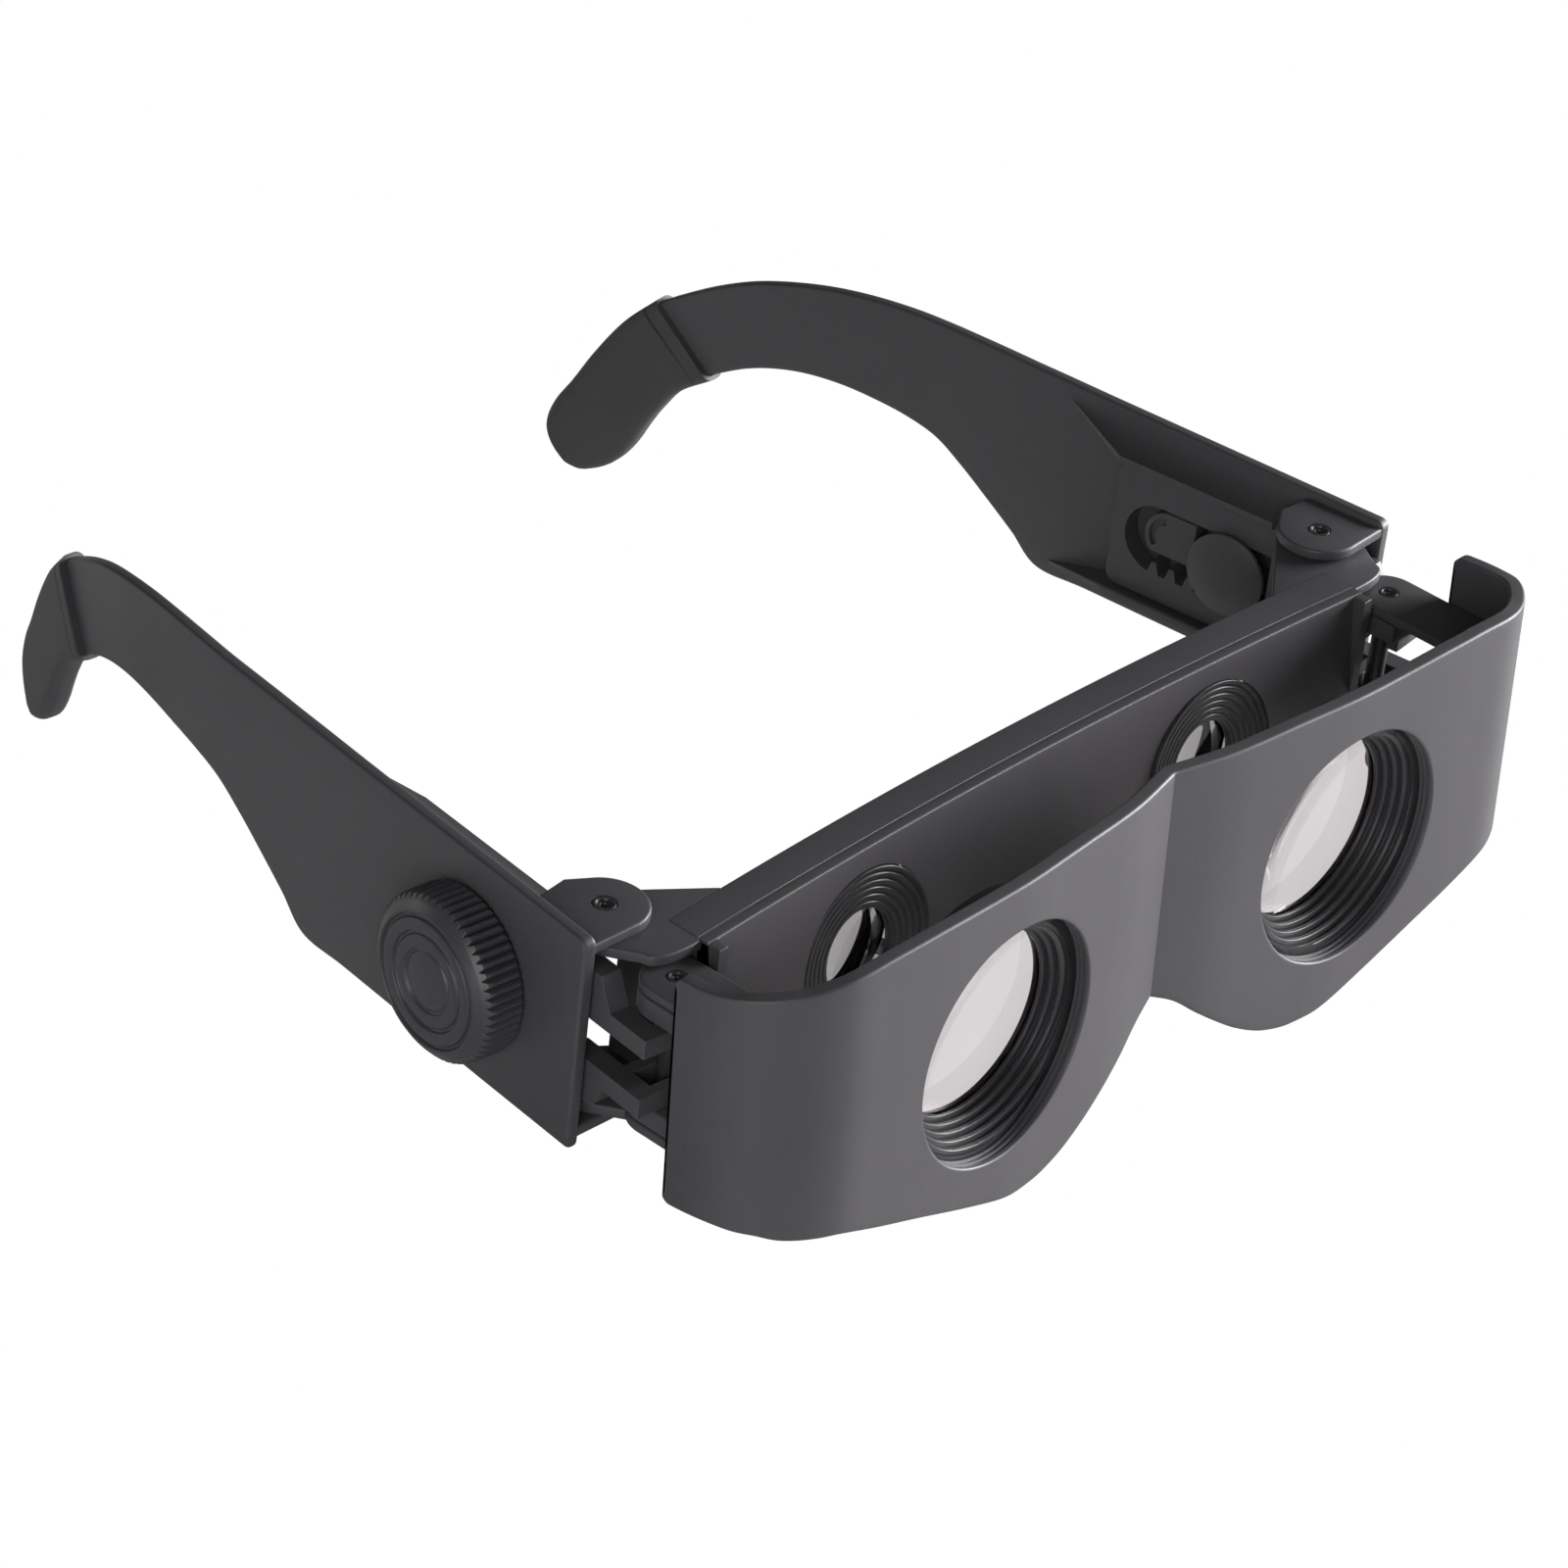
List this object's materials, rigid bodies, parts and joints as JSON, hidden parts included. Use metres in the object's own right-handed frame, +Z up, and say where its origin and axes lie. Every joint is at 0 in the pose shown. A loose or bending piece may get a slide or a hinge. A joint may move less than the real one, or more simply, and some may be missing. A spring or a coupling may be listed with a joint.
{
  "type": "binocular glasses",
  "caption": "Hands-free binocular glasses: a wrapped front shell with ribbed lens tubes slides on a rear eyepiece frame by knob-driven racks, between folding temples.",
  "frame": {"origin": "bottom centre of the bounding box, on the surface the part rests on", "axes": "+X towards the wearer's left, +Y from the front shell to the ears, +Z up"},
  "size_m": [0.1584, 0.152, 0.045],
  "materials": {
    "shell": "fine-grained matte black plastic",
    "gloss": "smooth glossy black plastic",
    "knob": "satin black plastic",
    "sleeve": "soft matte black",
    "pin": "dark satin pin",
    "lens": "clear polished lens"
  },
  "bodies": {
    "rear": {"rear_frame": "shell", "eyepiece_ring_left": "gloss", "eyepiece_lens_left": "lens", "eyepiece_retainer_left": "gloss", "hinge_pin_upper_left": "pin", "hinge_pin_lower_left": "pin", "eyepiece_ring_right": "gloss", "eyepiece_lens_right": "lens", "eyepiece_retainer_right": "gloss", "hinge_pin_upper_right": "pin", "hinge_pin_lower_right": "pin"},
    "front": {"front_panel": "shell", "objective_barrel_left": "gloss", "objective_lens_left": "lens", "lens_retainer_left": "gloss", "arm_post_left": "pin", "objective_barrel_right": "gloss", "objective_lens_right": "lens", "lens_retainer_right": "gloss", "arm_post_right": "pin"},
    "temple_left": {"temple_left": "shell", "ear_sleeve_left": "sleeve"},
    "rack_left": {"rack_slider_left": "shell"},
    "knob_left": {"focus_knob_left": "knob", "pinion_left": "gloss", "pinion_cap_left": "shell"},
    "temple_right": {"temple_right": "shell", "ear_sleeve_right": "sleeve"},
    "rack_right": {"rack_slider_right": "shell"},
    "knob_right": {"focus_knob_right": "knob", "pinion_right": "gloss", "pinion_cap_right": "shell"}
  },
  "joints": [
    {"name": "front_slide", "type": "slide", "parent": "rear", "child": "front", "axis": [0, 1, 0], "range_m": [-0.001, 0.0119]},
    {"name": "temple_fold_left", "type": "hinge", "parent": "rear", "child": "temple_left", "pos_m": [0.0656, -0.04013, 0.0256], "axis": [0, 0, 1], "range_deg": [0, 67]},
    {"name": "rack_slide_left", "type": "slide", "parent": "temple_left", "child": "rack_left", "axis": [-0.1132, 0.9936, 0], "range_m": [-0.001, 0.01183]},
    {"name": "knob_turn_left", "type": "hinge", "parent": "temple_left", "child": "knob_left", "pos_m": [0.06408, -0.02681, 0.0256], "axis": [0.9936, 0.1132, 0], "range_deg": [-14.6, 172.2]},
    {"name": "temple_fold_right", "type": "hinge", "parent": "rear", "child": "temple_right", "pos_m": [-0.0656, -0.04013, 0.0256], "axis": [0, 0, -1], "range_deg": [0, 80]},
    {"name": "rack_slide_right", "type": "slide", "parent": "temple_right", "child": "rack_right", "axis": [0.1132, 0.9936, 0], "range_m": [-0.001, 0.01183]},
    {"name": "knob_turn_right", "type": "hinge", "parent": "temple_right", "child": "knob_right", "pos_m": [-0.06408, -0.02681, 0.0256], "axis": [0.9936, -0.1132, 0], "range_deg": [-14.6, 172.2]}
  ],
  "couplings": [
    {"joint": "rack_slide_left", "follows": "front_slide", "ratio": 0.99357},
    {"joint": "knob_turn_left", "follows": "front_slide", "rad_per_m": 252.23},
    {"joint": "rack_slide_right", "follows": "front_slide", "ratio": 0.99357},
    {"joint": "knob_turn_right", "follows": "front_slide", "rad_per_m": 252.23}
  ]
}
